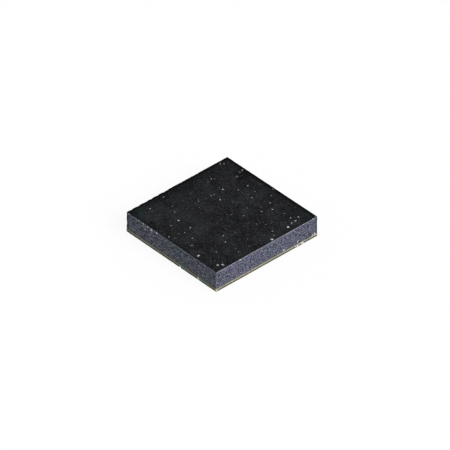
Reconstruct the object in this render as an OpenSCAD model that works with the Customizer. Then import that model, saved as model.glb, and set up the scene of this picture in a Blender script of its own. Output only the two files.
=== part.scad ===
// Multi-chip module: dies and chip parts on a four-layer laminate, moulded over and sawn flush.
// Millimetres. Origin at the centre of the underside, +Z towards the moulded face.

/* [Package] */
// Width along X between two sawn sides
module_w = 5; // [4.9:0.05:6.5]
// Depth along Y between two sawn sides
module_d = 5.1; // [5:0.05:6.5]
// Height from the underside to the moulded face
module_h = 0.92; // [0.76:0.01:1.4]

/* [Laminate] */
// Thickness of each of the four copper layers
copper_t = 0.01; // [0.006:0.001:0.018]
// Solder mask that covers the outer copper
mask_cover = 0.01; // [0.006:0.001:0.018]
// Prepreg between an inner and an outer copper layer
prepreg_gap = 0.025; // [0.02:0.005:0.06]
// Thickness of the glass-cloth core
core_t = 0.04; // [0.03:0.005:0.1]
// Distance of the inner copper from the sawn sides
plane_setback = 0.1; // [0.06:0.01:0.1]
// Width of a filled via, across its flats
via_d = 0.1; // [0.06:0.005:0.12]
// Width of the copper pad round a via
via_pad_d = 0.18; // [0.14:0.01:0.2]
// Gap between a signal's via pad and the ground copper round it
antipad_gap = 0.05; // [0.04:0.005:0.06]
// Width of a trace on the top copper
trace_w = 0.06; // [0.04:0.005:0.08]
// How far the solder mask laps over the edge of a pad
mask_overlap = 0.025; // [0.01:0.005:0.03]

/* [Lands] */
// Length of a perimeter land, square to its side
land_l = 0.4; // [0.3:0.01:0.45]
// Width of a perimeter land, along its side
land_w = 0.35; // [0.25:0.01:0.4]
// Distance between the centres of neighbouring lands
land_pitch = 0.6; // [0.5:0.01:0.62]
// Distance of the lands from the sawn sides
land_edge_gap = 0.1; // [0.08:0.01:0.2]
// Gap between the lands and the ground paddle
paddle_gap = 0.3; // [0.2:0.01:0.4]
// Chamfer on the ground paddle's first corner, which marks land one
paddle_chamfer = 0.4; // [0.2:0.01:0.6]
// Number of solder windows along each side of the ground paddle
paddle_windows = 4; // [2:1:5]
// Width of the solder mask web between two windows
paddle_web = 0.2; // [0.1:0.01:0.3]

/* [Dies] */
// Width of the power amplifier die
power_die_w = 1.2; // [0.9:0.05:1.3]
// Depth of the power amplifier die
power_die_d = 1; // [0.9:0.05:1.05]
// Thickness of the power amplifier die
power_die_t = 0.1; // [0.06:0.01:0.2]
// Width of the controller die
controller_w = 0.8; // [0.6:0.05:0.9]
// Depth of the controller die
controller_d = 0.8; // [0.6:0.05:0.9]
// Thickness of the controller die
controller_t = 0.15; // [0.06:0.01:0.25]
// Width of the switch die
switch_w = 0.9; // [0.7:0.05:0.95]
// Depth of the switch die
switch_d = 0.7; // [0.5:0.05:0.8]
// Thickness of the switch die
switch_t = 0.12; // [0.06:0.01:0.25]
// Width of the low noise amplifier die
low_noise_w = 0.5; // [0.4:0.05:0.55]
// Depth of the low noise amplifier die
low_noise_d = 0.45; // [0.4:0.05:0.5]
// Thickness of the low noise amplifier die
low_noise_t = 0.1; // [0.06:0.01:0.2]
// Thickness of the film that holds a die
attach_t = 0.02; // [0.01:0.005:0.03]
// Width of a die paddle beyond its die, on each side
paddle_margin = 0.06; // [0.04:0.01:0.08]

/* [Bond wires] */
// Diameter of a bond wire
wire_d = 0.025; // [0.018:0.001:0.035]
// Diameter of the ball that starts a wire on its die
ball_d = 0.06; // [0.04:0.002:0.075]
// Height of the ball
ball_h = 0.014; // [0.008:0.001:0.02]
// Height of the loop's handle over the ball, about twice the loop itself
loop_handle = 0.2; // [0.12:0.01:0.26]
// Length of the flattened end that is stitched to a finger
stitch_l = 0.05; // [0.03:0.005:0.07]
// Width of the flattened end
stitch_w = 0.045; // [0.036:0.001:0.06]
// Thickness of the flattened end where it leaves the wire
stitch_t = 0.01; // [0.006:0.001:0.015]
// Distance of a row of balls from the die's edge
ball_inset = 0.07; // [0.05:0.005:0.1]
// Distance between neighbouring balls
ball_pitch = 0.13; // [0.1:0.005:0.15]
// Distance from a die's edge to its bond fingers
finger_gap = 0.18; // [0.14:0.01:0.2]
// Length of a bond finger
finger_l = 0.2; // [0.16:0.01:0.22]
// Width of a bond finger
finger_w = 0.09; // [0.07:0.005:0.1]
// How far the mask is open beyond the end of a finger where the wire comes down
heel_clearance = 0.03; // [0.02:0.005:0.04]
// Distance between neighbouring bond fingers
finger_pitch = 0.15; // [0.12:0.005:0.16]

/* [Chip parts] */
// Length of a chip capacitor
capacitor_l = 0.6; // [0.5:0.01:0.62]
// Width and height of a chip capacitor
capacitor_w = 0.3; // [0.2:0.01:0.32]
// How far a capacitor's termination wraps along it
capacitor_wrap = 0.15; // [0.1:0.01:0.2]
// Length of a chip inductor
inductor_l = 1; // [0.8:0.01:1.02]
// Width and height of a chip inductor
inductor_w = 0.5; // [0.3:0.01:0.52]
// How far an inductor's termination wraps along it
inductor_wrap = 0.22; // [0.15:0.01:0.3]
// Thickness of a termination's plating
plating_t = 0.012; // [0.008:0.001:0.02]
// Solder between a pad and a termination
solder_t = 0.02; // [0.012:0.002:0.03]
// How far a pad reaches beyond the part's end
fillet_reach = 0.08; // [0.06:0.005:0.1]
// Height to which solder climbs a termination
fillet_h = 0.12; // [0.05:0.01:0.15]

/* [Filters] */
// Width of an acoustic filter
filter_w = 0.9; // [0.8:0.01:0.92]
// Depth of an acoustic filter
filter_d = 0.7; // [0.6:0.01:0.75]
// Thickness of the filter's chip
filter_chip_t = 0.2; // [0.1:0.01:0.3]
// Thickness of the roof that closes the filter's cavity
filter_roof_t = 0.03; // [0.02:0.005:0.05]
// Height of the air cavity between roof and chip
filter_cavity_h = 0.02; // [0.01:0.002:0.03]
// Width of the wall round the cavity
filter_wall_w = 0.16; // [0.12:0.01:0.18]
// Width of a copper pillar, across its flats
pillar_d = 0.08; // [0.06:0.005:0.1]
// Height of the filter's roof over its pads
pillar_gap = 0.05; // [0.03:0.005:0.06]

/* [Sawn edges] */
// Depth of the notches that are broken out of the laminate's edge
notch_depth = 0.05; // [0.02:0.005:0.08]

/* [Hidden] */

// Levels of the stack, from the underside up
lands_z = mask_cover;
lower_prepreg_z = lands_z + copper_t;
lower_plane_z = lower_prepreg_z + prepreg_gap;
core_z = lower_plane_z + copper_t;
upper_plane_z = core_z + core_t;
upper_via_z = upper_plane_z + copper_t;
top_copper_z = upper_via_z + prepreg_gap;
pad_z = top_copper_z + copper_t;
die_z = pad_z + attach_t;
part_z = pad_z + solder_t;
filter_z = pad_z + pillar_gap;

// Vias and pillars have flat sides
via_sides = 8;
pillar_sides = 12;
wire_sides = 6;
// Rings along the curved stretch of a bond wire
loop_steps = 4;

// Outward directions of the left, front, right and back sides
side_out = [[-1, 0], [0, -1], [1, 0], [0, 1]];
left = 0;
front = 1;
right = 2;
back = 3;

// A die: centre, size, wires on its left, front, right and back sides, rows of vias under it and their pitch
power_die = [[-0.95, -0.65], [power_die_w, power_die_d, power_die_t], [3, 4, 6, 0], [5, 4], 0.24];
controller = [[-1.1, 1.05], [controller_w, controller_d, controller_t], [4, 0, 4, 3], [2, 2], 0.3];
switch = [[1.05, 1.25], [switch_w, switch_d, switch_t], [3, 0, 3, 4], [2, 2], 0.3];
low_noise = [[0.35, 0.29], [low_noise_w, low_noise_d, low_noise_t], [3, 0, 3, 0], [2, 1], 0.2];
dies = [power_die, controller, switch, low_noise];

// Where a wire's loop leans and how high it still is there, as shares of its reach and of its handle
loop_lean = [0.45, 0.3];

// A chip part: centre and turn about Z
capacitors = [
    [-1.6, 0.25, 0],
    [-0.8, 0.25, 0],
    [-0.2, -1.88, 0],
    [0.4, -1.65, 90],
    [0.8, -1.65, 90],
    [-0.3, 1.74, 90],
    [1.5, 0.52, 0],
    [1.5, 0.14, 0]
];
inductors = [
    [0.55, -0.65, 90],
    [-1.32, -1.86, 0]
];
capacitor_size = [capacitor_l, capacitor_w, capacitor_wrap];
inductor_size = [inductor_l, inductor_w, inductor_wrap];

filters = [[1.5, -0.52], [1.5, -1.5]];
pillar_offsets = [for (x = [-1, 1], y = [-1, 0, 1])
    [x * (filter_w - filter_wall_w) / 2, y * (filter_d - filter_wall_w) / 2]];

// Lands run anticlockwise from the back end of the left side
lands_per_side = 7;
land_count = 4 * lands_per_side;
ground_lands = [7, 8, 24];
land_sites = [for (i = [0:land_count - 1]) land_site(i)];
die_via_sites = [for (die = dies) each grid(die[0], die[3], [die[4], die[4]])];
// Pads that only reach down to the upper ground plane
blind_via_sites = [
    capacitor_end(5, 1),
    for (i = [0, 1, 3, 5]) pillar_site(0, i),
    for (i = [0, 2]) pillar_site(1, i)
];

// Where pieces broke off the mould's upper edges: side, distance along it and size
edge_chips = [
    [front, -2.4, 0.05],
    [front, -1.8, 0.035],
    [front, -1.55, 0.05],
    [front, -1.1, 0.06],
    [front, -0.82, 0.045],
    [front, 1.15, 0.035],
    [right, -1.35, 0.045],
    [right, 0.28, 0.06],
    [right, 1.85, 0.045],
    [right, 2.33, 0.06]
];
// How such a block is tilted into the edge
break_tilt = [45, 0, 30];
// Where the laminate's edge is notched: side, distance along it, length and height
notches = [
    [front, 0.48, 0.12, 0.13],
    [right, 1.86, 0.09, 0.07]
];
// Floor of a notch: its two ends as shares of the notch's length and depth
notch_floor = [[-0.2, 1], [0.17, 0.7]];

function grid(centre, count, pitch) = [
    for (i = [0:count.x - 1], j = [0:count.y - 1])
    centre + [(i - (count.x - 1) / 2) * pitch.x, (j - (count.y - 1) / 2) * pitch.y]
];

function is_in(value, list) = len([for (item = list) if (item == value) 1]) > 0;

// Directions square to a side and along it, and a box's half size square to it
function side_across(side) = [abs(side_out[side].x), abs(side_out[side].y)];
function side_along(side) = [abs(side_out[side].y), abs(side_out[side].x)];
function half_across(size, side) = side_across(side) * [size.x, size.y] / 2;

function land_side(i) = floor(i / lands_per_side);
function land_step(i) = (i % lands_per_side - (lands_per_side - 1) / 2) * land_pitch;
function land_site(i) = let (side = land_side(i), out = side_out[side])
    out * (half_across([module_w, module_d], side) - land_edge_gap - land_l / 2)
    + [-out.y, out.x] * land_step(i);

function ball_site(die, side, i) = die[0]
    + side_out[side] * (half_across(die[1], side) - ball_inset)
    + side_along(side) * (i - (die[2][side] - 1) / 2) * ball_pitch;
function finger_site(die, side, i, reach) = die[0]
    + side_out[side] * (half_across(die[1], side) + finger_gap + reach)
    + side_along(side) * (i - (die[2][side] - 1) / 2) * finger_pitch;
function finger_end(die, side, i) = finger_site(die, side, i, finger_l - finger_w / 2);
// Ties a ground finger to the paddle under its die
function paddle_tie(die, side, i) = [
    for (reach = [finger_w / 2, -finger_gap]) finger_site(die, side, i, reach)
];

function part_end(part, size, end) = [part.x, part.y]
    + [cos(part.z), sin(part.z)] * end * (size.x - size.z + fillet_reach) / 2;
function capacitor_end(i, end) = part_end(capacitors[i], capacitor_size, end);
function inductor_end(i, end) = part_end(inductors[i], inductor_size, end);
function pillar_site(filter, i) = filters[filter] + pillar_offsets[i];

// A trace: two ends and the width
land_traces = [
    for (i = [0:1]) [land_site(i), finger_end(controller, left, 3 - i)],
    [land_site(2), finger_end(controller, left, 0)],
    [land_site(3), capacitor_end(0, -1)],
    [land_site(4), finger_end(power_die, left, 2)],
    [land_site(5), finger_end(power_die, left, 0)],
    [land_site(6), inductor_end(1, -1)],
    [land_site(9), inductor_end(1, 1)],
    [land_site(10), capacitor_end(2, 1)],
    [land_site(11), capacitor_end(3, -1)],
    [land_site(12), capacitor_end(4, -1)],
    [land_site(13), pillar_site(1, 3)],
    [land_site(14), pillar_site(1, 4)],
    [land_site(15), pillar_site(1, 5)],
    [land_site(16), pillar_site(0, 4)],
    [land_site(17), capacitor_end(7, 1)],
    for (i = [18:20]) [land_site(i), finger_end(switch, right, i - 18)],
    for (i = [21:22]) [land_site(i), finger_end(switch, back, 24 - i)],
    [land_site(23), finger_end(switch, back, 0)],
    for (i = [25:27]) [land_site(i), finger_end(controller, back, 27 - i)]
];
inner_traces = [
    for (i = [0:2]) [finger_end(controller, right, i), finger_end(switch, left, i)],
    [finger_end(controller, right, 3), capacitor_end(5, -1)],
    [finger_end(low_noise, right, 2), capacitor_end(6, -1)],
    [finger_end(low_noise, right, 0), capacitor_end(7, -1)],
    [capacitor_end(6, 1), capacitor_end(7, 1)],
    [capacitor_end(7, -1), pillar_site(0, 2)],
    [capacitor_end(0, 1), capacitor_end(1, -1)],
    [finger_end(power_die, right, 2), finger_end(power_die, right, 4)],
    [finger_end(power_die, right, 3), inductor_end(0, 1)],
    [inductor_end(0, -1), capacitor_end(3, 1)],
    [capacitor_end(3, 1), capacitor_end(4, 1)],
    [capacitor_end(4, 1), pillar_site(1, 1)],
    [finger_end(power_die, front, 3), capacitor_end(2, -1)],
    [finger_end(low_noise, left, 1), capacitor_end(1, 1)],
    paddle_tie(controller, left, 1),
    paddle_tie(power_die, left, 1),
    paddle_tie(switch, back, 1),
    for (i = [0:2]) paddle_tie(power_die, front, i),
    for (i = [0, 1, 5]) paddle_tie(power_die, right, i),
    for (i = [0, 2]) paddle_tie(low_noise, left, i),
    paddle_tie(low_noise, right, 1)
];

// A flat bar from one point to another
module bar(ends, w) {
    run = ends[1] - ends[0];
    side = [-run.y, run.x] * w / 2 / norm(run);
    polygon([ends[0] + side, ends[0] - side, ends[1] - side, ends[1] + side]);
}

module at_each(sites) {
    for (site = sites) {
        translate(site) children();
    }
}

// Bare outline of the sawn module
module outline(setback = 0) {
    square([module_w - 2 * setback, module_d - 2 * setback], center = true);
}

module plate(z, t) {
    translate([0, 0, z]) linear_extrude(t) outline();
}

// Sweeps the rings of points into one closed solid
module skin(rings) {
    sides = len(rings[0]);
    last = len(rings) - 1;
    walls = [
        for (r = [0:last - 1], k = [0:sides - 1])
        let (a = r * sides + k, b = r * sides + (k + 1) % sides)
        each [[a, b, a + sides], [b, b + sides, a + sides]]
    ];
    start_cap = [[for (k = [sides - 1:-1:0]) k]];
    end_cap = [[for (k = [0:sides - 1]) last * sides + k]];
    polyhedron([for (ring = rings) each ring], concat(start_cap, walls, end_cap));
}

// One ring of a bond wire, set in the upright plane that runs along the wire
function wire_ring(start, heading, at, tilt, half_w, half_h) = [
    for (k = [0:wire_sides - 1])
    let (
        across = half_w * cos(k * 360 / wire_sides),
        up = half_h * sin(k * 360 / wire_sides) / sin(60),
        run = at.x - up * sin(tilt)
    )
    [
        start.x + heading.x * run + heading.y * across,
        start.y + heading.y * run - heading.x * across,
        at.y + up * cos(tilt)
    ]
];

// Point of a cubic curve at t, and the direction in which it runs there
function bezier(p, t) = let (u = 1 - t)
    p[0] * u ^ 3 + p[1] * 3 * t * u ^ 2 + p[2] * 3 * t ^ 2 * u + p[3] * t ^ 3;
function bezier_run(p, t) = let (u = 1 - t)
    (p[1] - p[0]) * u ^ 2 + (p[2] - p[1]) * 2 * t * u + (p[3] - p[2]) * t ^ 2;

// Ball on the die, neck, loop, heel and flattened stitch on the finger
function wire_rings(start, end, start_z, end_z) = let (
    heading = (end - start) / norm(end - start),
    reach = norm(end - start) - stitch_l - wire_d,
    r = wire_d / 2,
    flat_r = r * sin(60),
    ball_r = ball_d / 2,
    neck_z = start_z + ball_h + r,
    heel = reach + wire_d,
    loop = [
        [0, neck_z],
        [0, neck_z + loop_handle],
        [loop_lean[0] * reach, neck_z + loop_lean[1] * loop_handle],
        [reach, end_z + flat_r]
    ]
) [
    wire_ring(start, heading, [0, start_z], 90, ball_r, ball_r * sin(60)),
    wire_ring(start, heading, [0, start_z + ball_h], 90, ball_r, ball_r * sin(60)),
    for (i = [0:loop_steps])
    let (t = i / loop_steps, run = bezier_run(loop, t))
    wire_ring(start, heading, bezier(loop, t), atan2(run.y, run.x), r, flat_r),
    wire_ring(start, heading, [heel, end_z + stitch_t / 2], 0, stitch_w / 2, stitch_t / 2),
    wire_ring(start, heading, [heel + stitch_l, end_z + stitch_t / 4], 0, stitch_w / 2, stitch_t / 4)
];

module wires(die) {
    top = die_z + die[1].z;
    for (side = [left:back]) {
        if (die[2][side] > 0) {
            for (i = [0:die[2][side] - 1]) {
                finger_middle = finger_site(die, side, i, finger_l / 2);
                skin(wire_rings(ball_site(die, side, i), finger_middle, top, pad_z));
            }
        }
    }
}

module die_block(die) {
    translate([die[0].x - die[1].x / 2, die[0].y - die[1].y / 2, die_z]) cube(die[1]);
}

module attach_film(die) {
    translate([die[0].x - die[1].x / 2, die[0].y - die[1].y / 2, pad_z]) cube([die[1].x, die[1].y, attach_t]);
}

module via_group(z, t, sites) {
    translate([0, 0, z]) at_each(sites) cylinder(h = t, d = via_d, $fn = via_sides);
}

module ground_plane(z) {
    signals = [for (i = [0:land_count - 1]) if (!is_in(i, ground_lands)) land_sites[i]];
    translate([0, 0, z]) linear_extrude(copper_t) {
        difference() {
            outline(plane_setback);
            at_each(signals) circle(d = via_pad_d + 2 * antipad_gap, $fn = via_sides);
        }
        at_each(signals) circle(d = via_pad_d, $fn = via_sides);
    }
}

module part_pads(parts, size, lap) {
    pad = [size.z + fillet_reach - 2 * lap, size.y - 2 * lap];
    for (part = parts) {
        at_each([for (end = [-1, 1]) part_end(part, size, end)])
            rotate(part.z) square(pad, center = true);
    }
}

module finger_bars(die) {
    for (side = [left:back]) {
        if (die[2][side] > 0) {
            for (i = [0:die[2][side] - 1]) {
                bar([finger_site(die, side, i, 0), finger_site(die, side, i, finger_l)], finger_w);
            }
        }
    }
}

module finger_windows(die) {
    for (side = [left:back]) {
        n = die[2][side];
        if (n > 0) {
            ends = [-heel_clearance, finger_l - mask_overlap];
            middle = (finger_site(die, side, 0, ends[0]) + finger_site(die, side, n - 1, ends[1])) / 2;
            long = (n - 1) * finger_pitch + finger_w + 2 * mask_overlap;
            size = side_across(side) * (ends[1] - ends[0]) + side_along(side) * long;
            translate(middle) square(size, center = true);
        }
    }
}

module die_paddle(die, margin) {
    translate(die[0]) square([die[1].x + 2 * margin, die[1].y + 2 * margin], center = true);
}

module top_windows() {
    for (die = dies) {
        die_paddle(die, paddle_margin - mask_overlap);
        finger_windows(die);
    }
    part_pads(capacitors, capacitor_size, mask_overlap);
    part_pads(inductors, inductor_size, mask_overlap);
    for (filter = filters) {
        translate(filter) at_each(pillar_offsets) circle(d = pillar_d + 2 * mask_overlap, $fn = pillar_sides);
    }
}

module lands(lap) {
    for (i = [0:land_count - 1]) {
        side = land_side(i);
        size = side_across(side) * (land_l - 2 * lap) + side_along(side) * (land_w - 2 * lap);
        translate(land_sites[i]) square(size, center = true);
    }
}

function paddle_size() = [module_w, module_d] - [2, 2] * (land_edge_gap + land_l + paddle_gap);

module paddle_outline(lap) {
    half = paddle_size() / 2 - [lap, lap];
    corner = paddle_chamfer - lap * tan(22.5) * 2;
    polygon([
        [-half.x, -half.y],
        [half.x, -half.y],
        [half.x, half.y],
        [-half.x + corner, half.y],
        [-half.x, half.y - corner]
    ]);
}

module paddle_openings() {
    web = [paddle_web, paddle_web];
    pitch = (paddle_size() - [2, 2] * mask_overlap + web) / paddle_windows;
    intersection() {
        paddle_outline(mask_overlap);
        at_each(grid([0, 0], [paddle_windows, paddle_windows], pitch)) square(pitch - web, center = true);
    }
}

// Moves to a point on a side, with +X running along the side and +Y pointing inwards
module on_side(side, along, z) {
    out = side_out[side];
    place = out * half_across([module_w, module_d], side) + side_along(side) * along;
    translate([place.x, place.y, z]) rotate(atan2(-out.y, -out.x) - 90) children();
}

// Pieces that are broken out of the laminate's edge, with uneven flanks
module edge_notches() {
    for (notch = notches) {
        l = notch[2];
        on_side(notch[0], notch[1], -notch_depth) linear_extrude(notch[3] + notch_depth) {
            polygon([
                [-l / 2, -notch_depth],
                [-l / 2, 0],
                for (end = notch_floor) [end.x * l, end.y * notch_depth],
                [l / 2, 0],
                [l / 2, -notch_depth]
            ]);
        }
    }
}

// Tilted blocks that break the mould's upper edges
module edge_breaks() {
    for (chip = edge_chips) {
        on_side(chip[0], chip[1], module_h) rotate(break_tilt) cube(chip[2], center = true);
    }
}

// Places a chip part's own frame: length along X, underside at its solder's top
module place_parts(parts) {
    for (part = parts) {
        translate([part.x, part.y, part_z]) rotate(part.z) children();
    }
}

module box(size) {
    translate([-size.x / 2, -size.y / 2, 0]) cube(size);
}

module part_bodies(parts, size) {
    shell = 2 * plating_t;
    place_parts(parts) translate([0, 0, plating_t]) box([size.x - shell, size.y - shell, size.y - shell]);
}

module termination_blocks(parts, size) {
    place_parts(parts) {
        for (end = [-1, 1]) {
            translate([end * (size.x - size.z) / 2, 0, 0]) box([size.z, size.y, size.y]);
        }
    }
}

module part_terminations(parts, size) {
    difference() {
        termination_blocks(parts, size);
        part_bodies(parts, size);
    }
}

// Solder under a termination, with a hollow fillet up its end
module part_solder(parts, size) {
    end_x = size.x / 2;
    toe_x = end_x + fillet_reach - mask_overlap;
    profile = concat(
        [[end_x - size.z + mask_overlap, 0], [toe_x, 0]],
        [for (a = [30:30:60]) [toe_x - (toe_x - end_x) * sin(a), (solder_t + fillet_h) * (1 - cos(a))]],
        [[end_x, solder_t + fillet_h], [end_x, solder_t], [end_x - size.z + mask_overlap, solder_t]]
    );
    w = size.y - 2 * mask_overlap;
    place_parts(parts) {
        for (turn = [0, 180]) {
            rotate(turn) translate([0, w / 2, -solder_t]) rotate([90, 0, 0])
                linear_extrude(w) polygon(profile);
        }
    }
}

module filter_pillar_group() {
    for (filter = filters) {
        translate([filter.x, filter.y, pad_z]) at_each(pillar_offsets)
            cylinder(h = pillar_gap + filter_roof_t + filter_cavity_h, d = pillar_d, $fn = pillar_sides);
    }
}

module filter_blocks(z, t) {
    for (filter = filters) {
        translate([filter.x, filter.y, z]) box([filter_w, filter_d, t]);
    }
}

module mold_compound() {
    color("#26272b") difference() {
        plate(top_copper_z, module_h - top_copper_z);
        top_solder_mask();
        top_copper();
        for (die = dies) {
            attach_film(die);
            die_block(die);
            wires(die);
        }
        filter_blocks(filter_z, filter_roof_t + filter_cavity_h + filter_chip_t);
        filter_pillar_group();
        part_bodies(capacitors, capacitor_size);
        termination_blocks(capacitors, capacitor_size);
        part_solder(capacitors, capacitor_size);
        part_bodies(inductors, inductor_size);
        termination_blocks(inductors, inductor_size);
        part_solder(inductors, inductor_size);
        edge_breaks();
    }
}

module top_solder_mask() {
    color("#8d8c72") difference() {
        plate(top_copper_z, copper_t + mask_cover);
        top_copper();
        translate([0, 0, top_copper_z - mask_cover]) linear_extrude(copper_t + 3 * mask_cover) top_windows();
    }
}

module top_copper() {
    color("#d9b25a") translate([0, 0, top_copper_z]) linear_extrude(copper_t) {
        at_each(land_sites) circle(d = via_pad_d, $fn = via_sides);
        for (die = dies) {
            die_paddle(die, paddle_margin);
            finger_bars(die);
        }
        part_pads(capacitors, capacitor_size, 0);
        part_pads(inductors, inductor_size, 0);
        for (filter = filters) {
            translate(filter) at_each(pillar_offsets)
                circle(d = pillar_d + 4 * mask_overlap, $fn = pillar_sides);
        }
        for (ends = concat(land_traces, inner_traces)) {
            bar(ends, trace_w);
        }
    }
}

module upper_vias() {
    color("#c47a4a") via_group(upper_via_z, prepreg_gap, concat(land_sites, die_via_sites, blind_via_sites));
}

module upper_prepreg() {
    color("#a39c74") difference() {
        plate(upper_plane_z, copper_t + prepreg_gap);
        upper_ground_plane();
        upper_vias();
        edge_notches();
    }
}

module upper_ground_plane() {
    color("#c47a4a") ground_plane(upper_plane_z);
}

module core_vias() {
    color("#c47a4a") via_group(core_z, core_t, concat(land_sites, die_via_sites));
}

module laminate_core() {
    color("#8c865c") difference() {
        plate(core_z, core_t);
        core_vias();
        edge_notches();
    }
}

module lower_ground_plane() {
    color("#c47a4a") ground_plane(lower_plane_z);
}

module lower_vias() {
    color("#c47a4a") via_group(lower_prepreg_z, prepreg_gap, concat(land_sites, die_via_sites));
}

module lower_prepreg() {
    color("#6f6a45") difference() {
        plate(lower_prepreg_z, prepreg_gap + copper_t);
        lower_ground_plane();
        lower_vias();
        edge_notches();
    }
}

module perimeter_lands() {
    color("#e0be6a") translate([0, 0, lands_z]) linear_extrude(copper_t) lands(0);
}

module ground_paddle() {
    color("#e0be6a") translate([0, 0, lands_z]) linear_extrude(copper_t) paddle_outline(0);
}

module bottom_solder_mask() {
    color("#2f4a33") difference() {
        plate(0, mask_cover + copper_t);
        perimeter_lands();
        ground_paddle();
        translate([0, 0, -mask_cover]) linear_extrude(2 * mask_cover) {
            lands(mask_overlap);
            paddle_openings();
        }
        edge_notches();
    }
}

module power_amplifier_die() {
    color("#54565f") die_block(power_die);
}

module power_amplifier_attach() {
    color("#b9bbc0") attach_film(power_die);
}

module power_amplifier_wires() {
    color("#e6c667") wires(power_die);
}

module controller_die() {
    color("#6b6f7c") die_block(controller);
}

module controller_attach() {
    color("#d8d2c0") attach_film(controller);
}

module controller_wires() {
    color("#e6c667") wires(controller);
}

module switch_die() {
    color("#6b6f7c") die_block(switch);
}

module switch_attach() {
    color("#d8d2c0") attach_film(switch);
}

module switch_wires() {
    color("#e6c667") wires(switch);
}

module low_noise_amplifier_die() {
    color("#54565f") die_block(low_noise);
}

module low_noise_amplifier_attach() {
    color("#d8d2c0") attach_film(low_noise);
}

module low_noise_amplifier_wires() {
    color("#e6c667") wires(low_noise);
}

module filter_chips() {
    color("#b7bcc2") filter_blocks(filter_z + filter_roof_t + filter_cavity_h, filter_chip_t);
}

// Roof and wall are one moulded polymer piece, open to the chip above
module filter_walls() {
    color("#a7854b") difference() {
        filter_blocks(filter_z, filter_roof_t + filter_cavity_h);
        for (filter = filters) {
            translate([filter.x, filter.y, filter_z + filter_roof_t])
                box([filter_w - 2 * filter_wall_w, filter_d - 2 * filter_wall_w, 2 * filter_cavity_h]);
        }
        filter_pillar_group();
    }
}

module filter_pillars() {
    color("#c47a4a") filter_pillar_group();
}

module capacitor_bodies() {
    color("#a98c66") part_bodies(capacitors, capacitor_size);
}

module capacitor_terminations() {
    color("#c9cacc") part_terminations(capacitors, capacitor_size);
}

module capacitor_solder() {
    color("#b9bbc0") part_solder(capacitors, capacitor_size);
}

module inductor_bodies() {
    color("#dfe0da") part_bodies(inductors, inductor_size);
}

module inductor_terminations() {
    color("#c9cacc") part_terminations(inductors, inductor_size);
}

module inductor_solder() {
    color("#b9bbc0") part_solder(inductors, inductor_size);
}

mold_compound();
top_solder_mask();
top_copper();
upper_vias();
upper_prepreg();
upper_ground_plane();
core_vias();
laminate_core();
lower_ground_plane();
lower_vias();
lower_prepreg();
perimeter_lands();
ground_paddle();
bottom_solder_mask();
power_amplifier_die();
power_amplifier_attach();
power_amplifier_wires();
controller_die();
controller_attach();
controller_wires();
switch_die();
switch_attach();
switch_wires();
low_noise_amplifier_die();
low_noise_amplifier_attach();
low_noise_amplifier_wires();
filter_chips();
filter_walls();
filter_pillars();
capacitor_bodies();
capacitor_terminations();
capacitor_solder();
inductor_bodies();
inductor_terminations();
inductor_solder();
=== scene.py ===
import bpy
import bmesh
import math
import numpy as np
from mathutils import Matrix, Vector


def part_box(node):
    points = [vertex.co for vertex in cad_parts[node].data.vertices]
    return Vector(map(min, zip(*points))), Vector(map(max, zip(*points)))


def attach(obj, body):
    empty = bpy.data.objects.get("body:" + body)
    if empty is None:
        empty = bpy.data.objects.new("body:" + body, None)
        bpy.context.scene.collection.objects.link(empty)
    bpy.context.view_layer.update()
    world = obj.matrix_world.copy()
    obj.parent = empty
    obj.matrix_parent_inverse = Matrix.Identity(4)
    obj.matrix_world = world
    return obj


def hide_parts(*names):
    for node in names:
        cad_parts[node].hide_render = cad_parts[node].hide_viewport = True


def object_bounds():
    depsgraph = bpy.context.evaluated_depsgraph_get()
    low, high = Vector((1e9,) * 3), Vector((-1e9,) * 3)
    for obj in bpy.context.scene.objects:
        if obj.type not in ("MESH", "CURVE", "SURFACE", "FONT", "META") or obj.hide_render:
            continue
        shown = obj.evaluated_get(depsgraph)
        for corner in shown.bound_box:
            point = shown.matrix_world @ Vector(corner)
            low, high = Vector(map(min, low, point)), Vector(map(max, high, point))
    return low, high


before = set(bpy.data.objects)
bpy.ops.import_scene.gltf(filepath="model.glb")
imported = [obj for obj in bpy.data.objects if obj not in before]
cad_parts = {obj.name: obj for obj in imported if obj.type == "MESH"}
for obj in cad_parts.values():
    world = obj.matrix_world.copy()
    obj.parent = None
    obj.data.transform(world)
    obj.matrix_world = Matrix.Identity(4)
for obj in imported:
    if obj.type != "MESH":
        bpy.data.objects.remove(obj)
cadLow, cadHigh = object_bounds()
print("frame loaded,", len(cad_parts), "nodes")

mm = 0.001  # sizes below are in millimetres, as in the part's source
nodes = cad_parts
halfX, halfY, topZ = (length / mm for length in cadHigh)

fade = 0.001  # half the width over which a mask goes from 0 to 1
noiseDetail = 2.0  # how many finer noises are laid over the first one in a shader's noise
plainDetail = 1.0
cloudDetail = 3.0
noiseMiddle = 0.5  # what a shader's noise comes to on average


def nodeBox(node):
    # lowest and highest corners of a CAD node
    low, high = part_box(node)
    return np.array(low) / mm, np.array(high) / mm


def paint(red, green, blue):
    # a display colour of 0 to 255 as the linear colour that a shader takes
    def linear(c):
        c = c / 255
        return c / 12.92 if c <= 0.04045 else ((c + 0.055) / 1.055) ** 2.4
    return (linear(red), linear(green), linear(blue), 1.0)


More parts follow.
